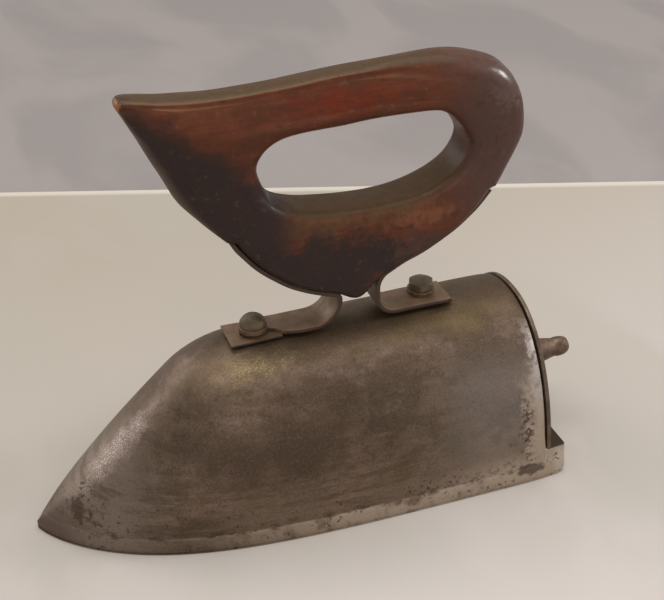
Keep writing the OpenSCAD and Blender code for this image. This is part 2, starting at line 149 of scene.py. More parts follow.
def catmull(p, steps, closed=False):
    """Catmull-Rom curve through points, with that many steps to a span."""
    p = np.array(p, float)
    m = len(p)
    out = []
    for i in range(m if closed else m - 1):
        ends = [(i + k) % m if closed else min(max(i + k, 0), m - 1) for k in (-1, 0, 1, 2)]
        a, b, c, d = p[ends]
        for k in range(steps):
            f = k / steps
            out.append(0.5 * (2 * b + (c - a) * f + (2 * a - 5 * b + 4 * c - d) * f * f
                              + (3 * b - a - 3 * c + d) * f ** 3))
    if not closed:
        out.append(p[-1])
    return np.array(out)


def arc(cx, cz, r, start, end, count=16):
    turn = np.radians(np.linspace(start, end, count + 1))
    return np.stack([cx + r * np.cos(turn), cz + r * np.sin(turn)], 1)


def side_of(p, closed=False):
    """Unit normals of a line, to the left of its way."""
    if closed:
        d = np.roll(p, -1, 0) - np.roll(p, 1, 0)
    else:
        d = np.gradient(p, axis=0)
    d /= np.linalg.norm(d, axis=1)[:, None]
    return np.stack([-d[:, 1], d[:, 0]], 1)


def resample(p, count, closed=False):
    """The same line with evenly spaced points."""
    q = np.vstack([p, p[:1]]) if closed else p
    run = np.concatenate([[0], np.cumsum(np.linalg.norm(np.diff(q, axis=0), axis=1))])
    at = np.linspace(0, run[-1], count, endpoint=not closed)
    return np.stack([np.interp(at, run, q[:, k]) for k in (0, 1)], 1)


def smoothstep(value, start, end):
    """0 at start, 1 at end, smooth between."""
    f = np.clip((value - start) / (end - start), 0, 1)
    return f * f * (3 - 2 * f)


# ---- meshes -----------------------------------------------------------------------------------

def mesh_piece(name, points, faces, material, node, body="iron_body", crease=35):
    """A piece in metres from points in mm, which stands for a CAD node."""
    mesh = bpy.data.meshes.new(name)
    mesh.from_pydata([tuple(c * MM for c in p) for p in points], [], faces)
    bm = bmesh.new()
    bm.from_mesh(mesh)
    bmesh.ops.remove_doubles(bm, verts=bm.verts, dist=1e-6)
    bmesh.ops.recalc_face_normals(bm, faces=bm.faces)
    bm.to_mesh(mesh)
    bm.free()
    mesh.shade_smooth()
    mesh.set_sharp_from_angle(angle=math.radians(crease))
    mesh.materials.append(material)
    piece = bpy.data.objects.new(name, mesh)
    bpy.context.scene.collection.objects.link(piece)
    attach(piece, body)
    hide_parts(node)
    return piece


def circle(count):
    """Angles of evenly spaced points on a full circle."""
    return np.linspace(0, 2 * math.pi, count, endpoint=False)


def grid(rows, cols, wrap_rows=False, wrap_cols=False, start=0):
    """Faces of a grid of points held row by row."""
    return [(start + r * cols + c, start + r * cols + (c + 1) % cols,
             start + (r + 1) % rows * cols + (c + 1) % cols, start + (r + 1) % rows * cols + c)
            for r in range(rows if wrap_rows else rows - 1)
            for c in range(cols if wrap_cols else cols - 1)]


def shaken(points, size, amount, seed=0):
    """Points moved by smooth noise, for metal and wood that aren't quite true."""
    return [tuple(Vector(p) + amount * noise.noise_vector(Vector(p) / size + Vector((seed, 0, 0))))
            for p in points]


# ---- materials --------------------------------------------------------------------------------

def rgb(r, g, b):
    """Linear colour from screen values of 0 to 255."""
    def lin(v):
        v /= 255
        return v / 12.92 if v <= 0.04045 else ((v + 0.055) / 1.055) ** 2.4
    return (lin(r), lin(g), lin(b), 1)


class Look:
    """A material's node tree, with one short method for each kind of node used here.
    Places are in millimetres in the CAD's frame."""

    def __init__(self, name, **constants):
        self.material = bpy.data.materials.new(name)
        self.material.use_nodes = True
        self.tree = self.material.node_tree
        self.shader = self.tree.nodes["Principled BSDF"]
        for key, value in constants.items():
            self.shader.inputs[key.replace("_", " ").title().replace("Ior", "IOR")].default_value = value
        coords = self.tree.nodes.new("ShaderNodeTexCoord").outputs["Object"]
        self.place = self.vector("MULTIPLY", coords, (1 / MM,) * 3)
        self.axes = self.node("ShaderNodeSeparateXYZ", {0: self.place}).outputs

    def node(self, kind, inputs, **settings):
        made = self.tree.nodes.new(kind)
        for key, value in settings.items():
            setattr(made, key, value)
        for key, value in inputs.items():
            if isinstance(value, bpy.types.NodeSocket):
                self.tree.links.new(value, made.inputs[key])
            else:
                made.inputs[key].default_value = value
        return made

    def vector(self, operation, a, b):
        return self.node("ShaderNodeVectorMath", {0: a, 1: b}, operation=operation).outputs[0]

    def math(self, operation, a, b=0.0):
        return self.node("ShaderNodeMath", {0: a, 1: b}, operation=operation).outputs[0]

    def times(self, *factors):
        result = factors[0]
        for factor in factors[1:]:
            result = self.math("MULTIPLY", result, factor)
        return result

    def span(self, value, start, end, low=0.0, high=1.0):
        """A smooth step: low where value is start, high where it is end."""
        inputs = {0: value, 1: start, 2: end, 3: low, 4: high}
        return self.node("ShaderNodeMapRange", inputs, interpolation_type="SMOOTHSTEP").outputs[0]

    def noise(self, size, detail=4.0, roughness=0.55, stretch=(1, 1, 1), distortion=0.0, offset=0.0):
        """Noise whose features are about size mm across, longer by stretch."""
        at = self.vector("MULTIPLY", self.place, tuple(1 / s for s in stretch))
        if offset:
            at = self.vector("ADD", at, (offset * size,) * 3)
        inputs = {"Vector": at, "Scale": 1 / size, "Detail": detail, "Roughness": roughness,
                  "Distortion": distortion}
        return self.node("ShaderNodeTexNoise", inputs).outputs["Fac"]

    def patch(self, centre, radii, edge=0.6, wobble=0.0, size=8.0):
        """1 inside an ellipsoid, 0 outside, with an edge softened and moved by noise."""
        away = self.vector("DIVIDE", self.vector("SUBTRACT", self.place, centre), radii)
        r = self.node("ShaderNodeVectorMath", {0: away}, operation="LENGTH").outputs["Value"]
        if wobble:
            moved = self.span(self.noise(size, 5.0, 0.6), 0.3, 0.7, -wobble / 2, wobble / 2)
            r = self.math("ADD", r, moved)
        return self.span(r, 1.0, 1.0 - edge)

    def mix(self, factor, a, b):
        """Colour a where factor is 0, b where it is 1."""
        return self.node("ShaderNodeMix", {0: factor, 6: a, 7: b}, data_type="RGBA").outputs[2]

    def bump(self, height, strength, distance):
        """Chains another bump of that many mm onto the shader's normal."""
        inputs = {"Height": height, "Strength": strength, "Distance": distance * MM}
        socket = self.shader.inputs["Normal"]
        if socket.links:
            inputs["Normal"] = socket.links[0].from_socket
        self.tree.links.new(self.node("ShaderNodeBump", inputs).outputs[0], socket)

    def finish(self, colour, roughness):
        self.tree.links.new(colour, self.shader.inputs["Base Color"])
        self.tree.links.new(roughness, self.shader.inputs["Roughness"])
        return self.material


def body_metal(name):
    """Old worn plating on the hood and sole: tarnish, streaks, speckle and rust pits, with painted shade
    and painted reflections by place, painted highlights on the nose ridge, the rear edge and the heel
    corner, and a lighter band along the top of the sole's side.
    """
    k = Look(name, metallic=0.7, specular_ior_level=0.5)
    x, y, z = k.axes
    colour = k.mix(k.span(k.noise(34, 5), 0.35, 0.68), rgb(88, 72, 59), rgb(110, 91, 76))
    streaks = k.noise(4, 5, 0.6, stretch=(10, 10, 1))
    colour = k.mix(k.span(streaks, 0.48, 0.68, 0, 0.45), colour, rgb(80, 62, 48))
    colour = k.mix(k.span(streaks, 0.44, 0.28, 0, 0.3), colour, rgb(128, 110, 94))
    clouds = k.noise(8, 6, 0.65, stretch=(1.8, 1.8, 1), offset=3)
    colour = k.mix(k.span(clouds, 0.5, 0.62, 0, 0.65), colour, rgb(80, 66, 44))
    colour = k.mix(k.span(clouds, 0.46, 0.34, 0, 0.45), colour, rgb(122, 104, 93))
    dirt = k.noise(2.4, 5, 0.7, stretch=(1.6, 1.6, 1), offset=8)
    colour = k.mix(k.span(dirt, 0.5, 0.64, 0, 0.5), colour, rgb(70, 54, 41))
    # Painted shade: the middle of the near side is darkened where it reflects the dark room in front.
    dark = k.patch((-12, -42, 46), (62, 26, 26), 0.8, 0.6, 18)
    colour = k.mix(k.times(dark, 0.75), colour, rgb(73, 56, 43))
    # Painted reflection: the lower rear of the hood's side is lightened.
    colour = k.mix(k.times(k.span(x, 48, 84), k.span(z, 72, 50), 0.75), colour, rgb(138, 124, 116))
    blue = k.times(k.span(x, 30, 80), k.span(z, 70, 30), k.span(k.noise(12, 5), 0.46, 0.58), 0.6)
    colour = k.mix(blue, colour, rgb(104, 99, 92))
    # Painted shade: the top of the crown is darkened over its rear part.
    crown = k.span(z, 68, 77)
    colour = k.mix(k.times(crown, k.span(x, -40, 0), 0.7), colour, rgb(86, 69, 50))
    olive = k.patch((74, -14, 76), (42, 14, 10), 0.8, 0.6, 12)
    colour = k.mix(k.times(olive, 0.5), colour, rgb(108, 91, 60))
    # Painted reflection: the nose is lightened towards its tip.
    colour = k.mix(k.span(x, -60, -94, 0, 0.8), colour, rgb(134, 119, 108))
    fine_speckle = k.span(k.noise(0.65, 2, 0.7, offset=4), 0.48, 0.6)
    low_side = k.times(k.span(z, 34, 12), k.span(x, -70, -20))
    colour = k.mix(k.times(low_side, 0.55), colour, rgb(132, 114, 97))
    low_streaks = k.noise(3.4, 5, 0.65, stretch=(7, 7, 1), offset=6)
    band = k.times(k.span(z, 42, 26), k.span(z, 7, 12), k.span(x, 70, 30))
    colour = k.mix(k.times(band, k.span(low_streaks, 0.49, 0.6), 0.55), colour, rgb(80, 64, 48))
    colour = k.mix(k.times(band, k.span(low_streaks, 0.44, 0.34), 0.4), colour, rgb(132, 116, 103))
    brassy = k.patch((-24, -16, 74), (28, 10, 9), 0.9, 0.6, 6)
    colour = k.mix(k.times(brassy, 0.7), colour, rgb(104, 88, 60))
    colour = k.mix(k.times(brassy, fine_speckle, 0.65), colour, rgb(158, 142, 106))
    shoulder = k.patch((-40, -10, 72), (30, 18, 14), 0.9, 0.5, 9)
    colour = k.mix(k.times(shoulder, 0.5), colour, rgb(134, 114, 93))
    # Painted highlight along the nose ridge, with painted sparkle of bright specks.
    ridge_highlight = k.patch((-84, -5, 37), (32, 11, 32), 0.9, 0.5, 8)
    colour = k.mix(k.times(ridge_highlight, 0.4), colour, rgb(146, 131, 122))
    colour = k.mix(k.times(ridge_highlight, fine_speckle, 0.8), colour, rgb(206, 190, 184))
    grain = k.noise(0.8, 3, 0.7)
    colour = k.mix(k.span(grain, 0.5, 0.66, 0, 0.2), colour, rgb(140, 123, 108))
    colour = k.mix(k.span(grain, 0.48, 0.34, 0, 0.35), colour, rgb(62, 48, 37))
    ragged = k.noise(3, 5, 0.65)
    wavy = k.math("ADD", x, k.span(k.noise(6, 5, 0.7), 0.3, 0.7, -4, 4))
    # Painted highlight: pale lightens the rear end of the side below the crown; low_pale is a ragged
    # lighter band low at the rear.
    pale = k.times(k.span(wavy, 96, 104), k.span(z, 62, 40))
    low_pale = k.times(k.span(x, 40, 100), k.span(z, 20, 9), k.span(ragged, 0.34, 0.5))
    colour = k.mix(k.times(k.math("MAXIMUM", pale, low_pale), 0.85), colour, rgb(178, 162, 146))
    rim = k.times(k.span(z, 9.0, 7.0), k.span(k.noise(9, 4), 0.3, 0.55), k.span(x, -80, 40, 0, 0.95))
    colour = k.mix(rim, colour, rgb(172, 156, 139))
    # Painted highlight: a ragged silvery strip along the rear edge of the near side.
    edge = k.times(k.span(wavy, 102, 108), k.span(z, 30, 46), k.span(z, 74, 62), k.span(y, 0, -12))
    edge = k.times(edge, k.span(ragged, 0.36, 0.52), 0.75)
    colour = k.mix(edge, colour, rgb(190, 180, 177))
    # Painted highlight on the near rear corner of the heel block.
    corner = k.times(k.span(x, 113, 117), k.span(y, -46, -48.5), k.span(z, 15, 13), 0.6)
    colour = k.mix(corner, colour, rgb(196, 188, 176))

    rust = rgb(70, 53, 41)
    near_seam = k.times(k.span(z, 5.6, 7.6), k.span(z, 13, 8.6))
    patches = k.span(k.noise(5, 5, 0.7, stretch=(2, 2, 1)), 0.5, 0.62)
    seam = k.times(near_seam, patches, k.span(x, 106, 96), 0.85)
    lower = k.times(k.span(z, 36, 10), k.span(k.noise(15, 4), 0.4, 0.56))
    spots = k.noise(2.2, 4, 0.62, offset=11)
    pits = k.span(spots, 0.59, 0.64)
    near_nose = k.patch((-97, -12, 16), (17, 16, 16), 0.7, 0.6, 6)
    tip = k.times(k.patch((-103, -13, 16), (3.6, 8, 10), 0.45, 0.7, 3), 0.95)
    nose = k.times(k.span(x, -100, -113), 0.6)
    heel = k.times(k.patch((101, -50, 7), (8.5, 6, 3.4), 0.35, 0.5, 4), 0.95)
    column = k.times(k.patch((100, -47, 30), (6, 13, 28), 0.8, 0.5, 4), k.span(spots, 0.48, 0.55))
    # The ledge's top just behind the hood is darkened as rust and as painted shade beside the rear
    # plate.
    on_ledge = k.span(z, LEDGE_Z - 0.5, LEDGE_Z - 0.1)
    ledge = k.times(k.span(x, HOOD_END + 1.0, HOOD_END + 1.6), on_ledge, 0.9)
    stain_and_ledge_shade = k.math("MAXIMUM", k.times(pits, lower), seam)
    for more in (k.times(k.span(spots, 0.55, 0.6), near_nose), tip, nose, heel, column, ledge):
        stain_and_ledge_shade = k.math("MAXIMUM", stain_and_ledge_shade, more)
    # Rust colour over the stains, which include the ledge's painted shade.
    colour = k.mix(k.times(stain_and_ledge_shade, 0.8), colour, rust)
    colour = k.mix(ledge, colour, rgb(52, 41, 29))
    rough = k.span(k.noise(11, 5), 0.3, 0.7, 0.42, 0.56)
    rough = k.math("MAXIMUM", rough, k.span(stain_and_ledge_shade, 0, 1, 0, 0.72))
    k.bump(grain, 0.25, 0.14)
    k.bump(k.noise(7, 4), 0.2, 0.5)
    k.bump(stain_and_ledge_shade, -0.4, 0.2)
    return k.finish(colour, rough)


def old_wood():
    """Reddish hardwood with worn varnish, scorched below the beak and above the straps."""
    k = Look("old_wood", metallic=0.0, specular_ior_level=0.16, coat_roughness=0.22)
    x, _, z = k.axes
    grain = k.noise(1.3, 4, 0.6, stretch=(12, 1, 1), distortion=0.3)
    bands = k.noise(7, 4, 0.55, stretch=(4, 1, 1), distortion=0.3, offset=7)
    mottle = k.noise(3.2, 5, 0.65, offset=2)
    colour = k.mix(k.span(bands, 0.35, 0.68), rgb(98, 52, 32), rgb(79, 42, 27))
    red = k.patch((24, -12, 189), (42, 9, 9), 0.9, 0.5, 9)
    colour = k.mix(k.times(red, 0.8), colour, rgb(107, 37, 10))
    colour = k.mix(k.span(grain, 0.45, 0.7, 0, 0.35), colour, rgb(60, 32, 22))
    tan = k.patch((-34, -12, 196), (28, 9, 7), 0.8, 0.5, 7)
    colour = k.mix(k.times(tan, 0.5), colour, rgb(112, 68, 44))
    brown = k.times(k.span(x, 60, 90), k.span(z, 118, 138))
    colour = k.mix(k.times(brown, 0.9), colour, rgb(80, 59, 53))
    plum = k.patch((58, -12, 113), (34, 12, 13), 0.7, 0.5, 7)
    colour = k.mix(k.times(plum, 0.9), colour, rgb(74, 52, 47))
    orange = k.patch((62, -12, 130), (20, 9, 8), 0.8, 0.7, 6)
    colour = k.mix(k.times(orange, 0.75), colour, rgb(122, 76, 54))
    worn = k.patch((16, -12, 134), (34, 9, 9), 0.8, 0.7, 6)
    colour = k.mix(k.times(worn, 0.6), colour, rgb(96, 68, 46))
    below_hole = k.patch((48, -13, 135), (26, 6, 6), 0.9, 0.7, 5)
    colour = k.mix(k.times(below_hole, 0.6), colour, rgb(92, 72, 46))
    normal = k.node("ShaderNodeNewGeometry", {}).outputs["Normal"]
    ahead, _, top = k.node("ShaderNodeSeparateXYZ", {0: normal}).outputs
    up = k.times(k.span(z, 190, 193), k.span(x, 86, 56), k.span(top, 0.4, 0.8))
    colour = k.mix(k.times(up, 0.85), colour, rgb(72, 57, 37))
    # Painted highlight: a light tan line along the crease under the top face, picked by how the surface
    # faces.
    tilted = k.times(k.span(top, 0.42, 0.55), k.span(top, 0.86, 0.7))
    crease = k.times(k.span(z, 188, 191), k.span(x, 70, 20), tilted)
    colour = k.mix(k.times(crease, 0.55), colour, rgb(130, 96, 70))
    hole = k.times(k.span(top, 0.35, 0.8), k.span(z, 172, 160), k.span(z, 130, 137))
    colour = k.mix(k.times(hole, 0.8), colour, rgb(74, 58, 36))
    slant = k.math("ADD", k.times(x, 0.7), k.math("ADD", z, k.times(k.noise(12, 5, 0.6), 20.0)))
    front = k.times(k.span(slant, 169, 156), k.span(x, 10, -8))
    under = k.patch((18, -12, 111), (46, 30, 24), 0.5, 0.5, 10)
    colour = k.mix(k.times(k.math("MAXIMUM", front, under), 0.96), colour, rgb(46, 35, 33))
    colour = k.mix(k.span(mottle, 0.56, 0.74, 0, 0.3), colour, rgb(112, 90, 60))
    colour = k.mix(k.span(mottle, 0.46, 0.3, 0, 0.4), colour, rgb(46, 32, 26))
    fore = k.times(k.span(ahead, -0.4, -0.75), k.span(x, -20, -30), k.span(z, 128, 140), 0.45)
    colour = k.mix(fore, colour, rgb(104, 84, 73))
    tip = k.patch((-66, -3, 197), (3.2, 6, 4), 0.5, 0.6, 2)
    colour = k.mix(tip, colour, rgb(146, 98, 64))
    scratch = k.span(k.noise(1.2, 2, 0.5, stretch=(3, 1, 16), offset=3), 0.74, 0.8)
    colour = k.mix(k.times(scratch, 0.4), colour, rgb(140, 104, 80))
    shine = k.patch((99, -9, 184), (13, 12, 17), 0.9, 0.5, 2.5)
    rim = k.times(k.patch((-8, -11, 149), (5, 8, 6), 0.9, 0.5, 2.5), 0.7)
    polish = k.math("MAXIMUM", shine, rim)
    k.tree.links.new(k.span(polish, 0, 0.8, 0.05, 1.0), k.shader.inputs["Coat Weight"])
    rough = k.span(k.noise(9, 5), 0.3, 0.7, 0.38, 0.52)
    rough = k.math("SUBTRACT", rough, k.times(polish, 0.1))
    k.bump(grain, 0.15, 0.2)
    k.bump(mottle, 0.25, 0.35)
    return k.finish(colour, rough)


def tarnished(name, light, dark, fleck, metallic=0.7, rough=(0.42, 0.6), size=6.0, edge_shade=0.0):
    """Oxidised metal: two tones in soft patches, fine speckle and flecks of a third. Given a shaded edge
    amount it is a strap, with painted shade on its cut edges, and darker higher up, below the wood."""
    k = Look(name, metallic=metallic, specular_ior_level=0.5)
    colour = k.mix(k.span(k.noise(size, 5, 0.6), 0.35, 0.66), rgb(*light), rgb(*dark))
    colour = k.mix(k.span(k.noise(size / 3, 4, 0.6, offset=5), 0.55, 0.7, 0, 0.6), colour, rgb(*fleck))
    colour = k.mix(k.span(k.noise(0.6, 2, 0.7), 0.5, 0.7, 0, 0.3), colour, rgb(*dark))
    if edge_shade:
        normal = k.node("ShaderNodeNewGeometry", {}).outputs["Normal"]
        across = k.node("ShaderNodeSeparateXYZ", {0: normal}).outputs[1]
        # Painted shade on the cut edges, where the surface faces sideways; the strap is also darker
        # higher up, below the wood.
        side = k.span(k.math("ABSOLUTE", across), 0.6, 0.9, 0, edge_shade)
        above = k.span(k.axes[2], 86, 98, 0, 0.65)
        colour = k.mix(k.math("MAXIMUM", side, above), colour, rgb(56, 42, 34))
    k.bump(k.noise(0.7, 3, 0.6), 0.3, 0.1)
    k.bump(k.noise(4, 3), 0.2, 0.3)
    return k.finish(colour, k.span(k.noise(size, 4, offset=9), 0.3, 0.7, *rough))


BODY = body_metal("worn_plating")
WOOD = old_wood()
STRAP = tarnished("strap_steel", (124, 98, 76), (104, 82, 61), (128, 100, 84), metallic=0.2,
                  edge_shade=0.85)
BOLT = tarnished("bolt_steel", (102, 90, 68), (84, 70, 52), (100, 80, 58), metallic=0.3, size=5)
WASHER = tarnished("washer_steel", (110, 88, 66), (82, 64, 48), (120, 98, 72), metallic=0.35, size=3)
PLATE = tarnished("plate_iron", (112, 96, 80), (88, 72, 58), (126, 108, 92))
BRASS = tarnished("old_brass", (118, 98, 82), (86, 68, 54), (134, 108, 94), metallic=0.6, size=4)
BURNER = tarnished("burner_brass", (150, 118, 66), (96, 72, 46), (176, 136, 80), metallic=0.9)
IRON = tarnished("plain_iron", (96, 84, 74), (70, 60, 52), (120, 84, 60), size=8)
SHEET = tarnished("heat_stained_sheet", (110, 98, 88), (84, 70, 66), (124, 96, 70), size=10)


# ---- body pieces ------------------------------------------------------------------------------

def make_hood():
    """The hood's outside with its rear edge curled in a little, its inside, and its lower edges."""
    rows, cols = 150, 120
    lip, curl, curl_len = 0.5, 0.35, 5.0
    first, last = (SOLE_SIDE - NOSE_FOOT) / NOSE_SLOPE + 0.05, HOOD_END - NOSE_X

    def sunk(u, t):
        """A ring set in by t, but flush with the sole's ledge low down."""
        above = [float(smoothstep(p[2], LEDGE_Z, LEDGE_Z + 8)) for p in hood_ring(u, 0.0, cols)]
        pairs = zip(hood_ring(u, 0.0, cols), hood_ring(u, t, cols), above)
        return [tuple(Vector(a).lerp(Vector(b), f)) for a, b, f in pairs]

    points = []
    for r in range(rows + 1):
        u = first + (last - lip - first) * (r / rows) ** 1.25
        points += sunk(u, curl * max(0, 1 - (last - u) / curl_len) ** 2)
    for turn in (30, 60, 90):
        a = math.radians(turn)
        points += sunk(last - lip + lip * math.sin(a), curl + lip * (1 - math.cos(a)))
    points = shaken(points, 26.0, 0.18)
    width = cols + 1
    outer = len(points) // width
    rings = 2 * outer
    inner_first = first + 2.6 * HOOD_WALL
    for r in range(outer):
        u = last - (last - inner_first) * (r / (outer - 1)) ** 0.8
        points += hood_ring(u, HOOD_WALL, cols)
    faces = grid(rings, width)
    for r in range(outer - 1):
        a, b = r * width, (rings - 1 - r) * width
        faces.append((a, a + width, b - width, b))
        a, b = a + cols, b + cols
        faces.append((a, b, b - width, a + width))
    for c in range(cols):
        a, b = c, (rings - 1) * width + c
        faces.append((a, b, b + 1, a + 1))
    return mesh_piece("hood_shell", points, faces, BODY, "hood")


def outline(z, inset=0.0, count=150):
    """The sole's outline at height z, near side from the nose to the heel and back along the far one.
    Point number count is where the hood ends; the heel's corners are worn rounder low down."""
    corner = HEEL_CORNER + HEEL_WEAR * max(0, 1 - z / 5) ** 2
    last = SOLE_LEN - corner
    first = max(0, (z - NOSE_FOOT) / NOSE_SLOPE) + 0.02
    us = [first + (HOOD_END - 0.3 - NOSE_X - first) * (k / count) ** 1.8 for k in range(count + 1)]
    us += [us[-1] + (last - us[-1]) * k / 4 for k in range(1, 5)]
    us += [last + corner * math.sin(math.radians(a)) for a in range(10, 91, 10)]
    side = []
    for u in us:
        full = min(u, SOLE_LEN - HEEL_CORNER - 0.5)
        grow = (face_half(full + 0.5) - face_half(full)) / 0.5
        w = face_half(full) + 0.0016 * max(0, u - TAPER_FROM) ** 2 - SIDE_LEAN * min(1, z / SOLE_SIDE)
        w -= corner - math.sqrt(max(0, corner ** 2 - max(0, u - last) ** 2))
        h = ridge(u)
        shrink = max(0, 1 - (z / h) ** SECTION_POWER) ** (1 / SECTION_POWER) if h > z else 0
        across = min(inset * math.sqrt(1 + grow * grow), max(0, w))
        side.append((NOSE_X + u, max(0.0, w * shrink - across)))
    return [(x, -w) for x, w in side], [(x, w) for x, w in reversed(side)], count


def sole_piece():
    """The sole with its heel block behind the hood, and the platform that the hood sits round."""
    edge, platform_z = 0.7, 13.0
    levels = [(edge * (1 - math.cos(math.radians(a))), edge * (1 - math.sin(math.radians(a))))
              for a in (90, 60, 30, 0)]
    levels += [(z, 0.0) for z in (2.0, 4.0, 6.0, SOLE_SIDE - 0.25)] + [(SOLE_SIDE, 0.2)]
    points, faces = [], []
    for z, inset in levels:
        near, far, end = outline(z, inset)
        points += [(x, y, z) for x, y in near + far]
    ring = len(near) + len(far)
    faces += grid(len(levels), ring, wrap_cols=True)
    faces.append(tuple(range(ring)))
    top = (len(levels) - 1) * ring
    far_end = ring - 1 - end
    faces.append(tuple(top + k for k in list(range(end + 1)) + list(range(far_end, ring))))

    # The heel block rises from the last part of the top ring, and its upper edge is rounded
    rise = [(LEDGE_Z - 1.2, 0.0), (LEDGE_Z - 0.4, 0.1), (LEDGE_Z - 0.1, 0.35), (LEDGE_Z, 0.8)]
    below = [top + k for k in range(end, far_end + 1)]
    middle_x, block_half = (HOOD_END + HEEL_X) / 2, 52
    base = [points[i] for i in below]
    m = len(base)
    for z, inset in rise:
        start = len(points)
        pull = 1.4 * inset / 11
        lean = section_half(z) / section_half(SOLE_SIDE) * (1 - inset / block_half)
        points += [(x + (middle_x - x) * pull, y * lean, z) for x, y, _ in base]
        ring_now = [start + k for k in range(m)]
        faces += [(below[k], below[(k + 1) % m], ring_now[(k + 1) % m], ring_now[k]) for k in range(m)]
        below = ring_now
    faces.append(tuple(below))
    points = shaken(points, 30.0, 0.08)
    start = len(points)
    near, far, _ = outline(platform_z, HOOD_WALL + 0.8, 60)
    inside = [p for p in near + far if p[0] < HOOD_END and abs(p[1]) > 0.5]
    for z in (SOLE_SIDE - 0.5, platform_z):
        points += [(x, y, z) for x, y in inside]
    m = len(inside)
    faces += grid(2, m, wrap_cols=True, start=start)
    faces += [tuple(range(start, start + m)), tuple(range(start + m, start + 2 * m))]
    return mesh_piece("sole_body", points, faces, BODY, "sole_plate", crease=50)


def rear_plate_piece():
    """A flat curve with its holes, made thick and with softened edges."""
    data = bpy.data.curves.new("rear_plate_outline", "CURVE")
    data.dimensions, data.fill_mode = "2D", "BOTH"
    thick = PLATE_END - low("rear_plate").x
    soft = 0.35
    data.extrude, data.bevel_depth, data.bevel_resolution = (thick / 2 - soft) * MM, soft * MM, 2
    data.offset = -soft * MM
    foot = low("rear_plate").z
    u = HOOD_END - NOSE_X
    w, h, e = half_at(u), ridge(u), 2 / SECTION_POWER
    first = math.asin((foot / h) ** (1 / e))
    turns = [first + (math.pi - 2 * first) * k / 120 for k in range(121)]
    rim = [(math.copysign(w * abs(math.cos(a)) ** e, math.cos(a)), h * math.sin(a) ** e) for a in turns]
    shank_hole, sight_holes = [(0, GAS_Z, 5.1)], [(-24, 27, 4.5), (24, 27, 4.5)]
    rivet_holes = [(-37, 29, 1.3), (37, 29, 1.3)]
    rings = [rim] + [[(y + r * math.cos(a), z + r * math.sin(a)) for a in circle(40)]
                     for y, z, r in shank_hole + sight_holes + rivet_holes]
    for ring in rings:
        line = data.splines.new("POLY")
        line.points.add(len(ring) - 1)
        for point, (y, z) in zip(line.points, ring):
            point.co = (y * MM, z * MM, 0, 1)
        line.use_cyclic_u = True
    flat = bpy.data.objects.new("plate_outline", data)
    bpy.context.scene.collection.objects.link(flat)
    mesh = bpy.data.meshes.new_from_object(flat.evaluated_get(bpy.context.evaluated_depsgraph_get()))
    bpy.data.objects.remove(flat)
    middle = PLATE_END - thick / 2
    points = [(middle + v.co.z / MM, v.co.x / MM, v.co.y / MM) for v in mesh.vertices]
    faces = [tuple(p.vertices) for p in mesh.polygons]
    return mesh_piece("rear_cover_plate", points, faces, PLATE, "rear_plate",
                      "burner_unit", crease=50)


def lathe(profile, count=64):
    """Points and faces of a profile of (place along X, radius), turned about the gas axis."""
    points = [(x, r * math.cos(t), GAS_Z + r * math.sin(t)) for x, r in profile
              for t in circle(count)]
    return points, grid(len(profile), count, wrap_rows=True, wrap_cols=True)


def nozzle_piece():
    """A tapered nozzle with a bead where the hose grips, and a hexagon against the plate."""
    grip, end, bore, count = NOZZLE_END - 6.9, NOZZLE_END, 2.5, 96
    bead = [(grip + 2.2 - 2.6 * math.cos(t), 4.45 + 0.35 * math.sin(t))
            for t in np.linspace(0.2, 2.9, 9)]
    profile = [(PLATE_END + 2, 7.1), (PLATE_END + 5.6, 7.2), (PLATE_END + 6.6, 6.9),
               (PLATE_END + 8, 6.4), (grip - 10, 6.0), (grip - 6.6, 5.75), (grip - 3, 5.0),
               (grip - 1, 4.6)]
    profile += bead
    profile += [(end - 1.6, 4.3), (end - 0.7, 3.9), (end - 0.15, 3.4), (end, 3.0), (end - 0.3, bore)]
    profile += [(PLATE_END - 11, bore), (PLATE_END - 11, 4.9), (PLATE_END, 4.9)]
    points, faces = lathe(profile)
    points = shaken(points, 4.0, 0.16, 3)
    flats = 17 / 2
    start = len(points)
    rows = [(PLATE_END, flats - 0.6), (PLATE_END, flats + 1.1), (PLATE_END + 0.6, flats + 1.5),
            (PLATE_END + 3.3, flats + 1.5), (PLATE_END + 4.0, flats + 0.4), (PLATE_END + 4.0, 6.5)]
    points += [(h, c, GAS_Z + s) for h, c, s in hex_rows(rows, flats, count)]
    faces += grid(len(rows), count, wrap_cols=True, start=start)
    return mesh_piece("gas_nozzle", points, faces, BRASS, "nozzle", "burner_unit", 40)


def hex_rows(rows, flats, count, worn=0.15):
    """Rings of a hexagon with worn corners, each cut to a round limit: (height, cos, sin) points."""
    out = []
    for height, limit in rows:
        for t in circle(count):
            turned = (math.degrees(t) + 30) % 60 - 30
            r = min(flats / math.cos(math.radians(turned)), limit)
            r += (min(flats, limit) - r) * worn
            out.append((height, r * math.cos(t), r * math.sin(t)))
    return out


# ---- handle fixings ---------------------------------------------------------------------------

FOOT_MID = PAD_TOP + STRAP_T / 2
HOOK_R = 6.2
FOOT_STEPS = 60
FRONT_ARM = catmull([[22, 95.8], [8, 101], [-4, 108.5], [-14, 117.5], [-20.5, 125.5],
                     [-23.5, 130.3]], 10)
REAR_ARM = catmull([[46.4, 102.5], [54.4, 106.5], [65.4, 111], [77.8, 118.1], [84.5, 123.2],
                    [90, 128.4], [94.8, 134]], 10)
FRONT_LINE = np.vstack([np.stack([np.linspace(FRONT_BOLT - HOOK_R, 10.5, FOOT_STEPS),
                                  np.full(FOOT_STEPS, FOOT_MID)], 1),
                        arc(11.5, FOOT_MID + 12.2, 12.2, -90, 0, 24),
                        arc(21.1, FOOT_MID + 12.2, 2.6, 12, 62, 8), FRONT_ARM])
REAR_LINE = np.vstack([np.stack([np.linspace(77.5, 51.5, 24), np.full(24, FOOT_MID)], 1),
                       arc(50.6, FOOT_MID + 9, 9, 270, 180, 24), arc(50.6, 94.6, 9, 180, 125, 10)[1:],
                       REAR_ARM])


